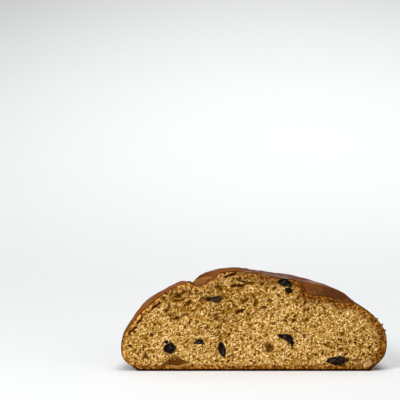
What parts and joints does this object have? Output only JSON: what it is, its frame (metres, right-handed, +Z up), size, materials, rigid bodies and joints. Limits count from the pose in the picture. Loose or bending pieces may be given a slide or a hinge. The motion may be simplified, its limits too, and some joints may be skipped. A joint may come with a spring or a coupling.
{
  "type": "christmas fruit bread, cut half",
  "caption": "Half of a round glossy fruit bread, lying on its flat base with the cut crumb and its raisins facing forward.",
  "frame": {"origin": "middle of the outer box on the floor; the cut face is 55.65 mm in front of it", "axes": "+Z up, +X to the right along the cut face, -Y out of the cut face"},
  "size_m": [0.2198, 0.113, 0.0845],
  "materials": {
    "bread": "fine open tan crumb inside a glossy brown crust",
    "raisin": "wrinkled, near black, slightly glossy",
    "nut": "pale, cut smooth"
  },
  "bodies": {
    "root": {"bread": "bread", "raisin_low_left": "raisin", "raisin_small_left": "raisin", "raisin_lens": "raisin", "raisin_middle": "raisin", "raisin_low_right": "raisin", "raisin_under_crust": "raisin", "raisin_small_top": "raisin", "raisin_flat_top": "raisin", "nut_low_right": "nut", "raisin_in_slash": "raisin", "raisin_on_ridge": "raisin", "raisin_back_left": "raisin", "raisin_right_flank": "raisin", "raisin_back": "raisin"}
  },
  "joints": []
}
